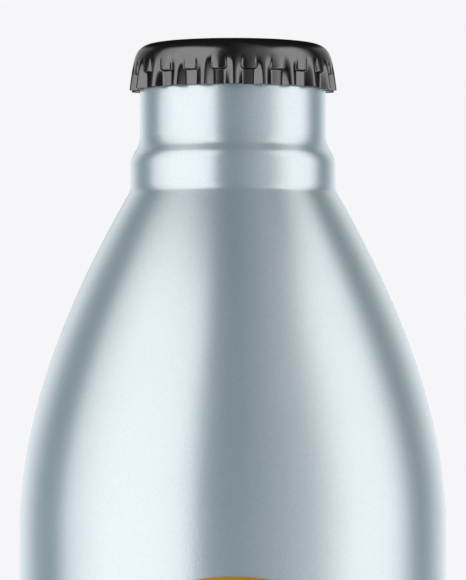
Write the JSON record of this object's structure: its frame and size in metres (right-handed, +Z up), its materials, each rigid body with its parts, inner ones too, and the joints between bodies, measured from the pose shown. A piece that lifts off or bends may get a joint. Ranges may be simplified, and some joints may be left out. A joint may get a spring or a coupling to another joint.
{
  "type": "glass milk bottle",
  "caption": "Small crown-capped milk bottle in metallic lacquer: wide body, sloping shoulder, banded neck, oval foil label, lift-off crown.",
  "frame": {"origin": "on the table, at the centre of the bottle's standing ring", "axes": "+Z up the bottle's axis towards the crown; the label faces -Y"},
  "size_m": [0.059, 0.0593, 0.15],
  "materials": {
    "clear_glass": "clear flint glass, gloss",
    "metallic_lacquer": "ice blue metallic lacquer, satin",
    "gold_foil": "gold foil, satin, embossed",
    "black_enamel": "black enamel on tinplate, gloss",
    "liner_white": "off-white soft polyethylene, matt"
  },
  "bodies": {
    "bottle": {"glass_bottle": "clear_glass", "metallic_coat": "metallic_lacquer", "foil_label": "gold_foil"},
    "crown": {"crown_shell": "black_enamel", "crown_liner": "liner_white"}
  },
  "joints": [
    {"name": "crown_lift", "type": "slide", "parent": "bottle", "child": "crown", "axis": [0, 0, 1], "range_m": [0, 0.05]}
  ]
}
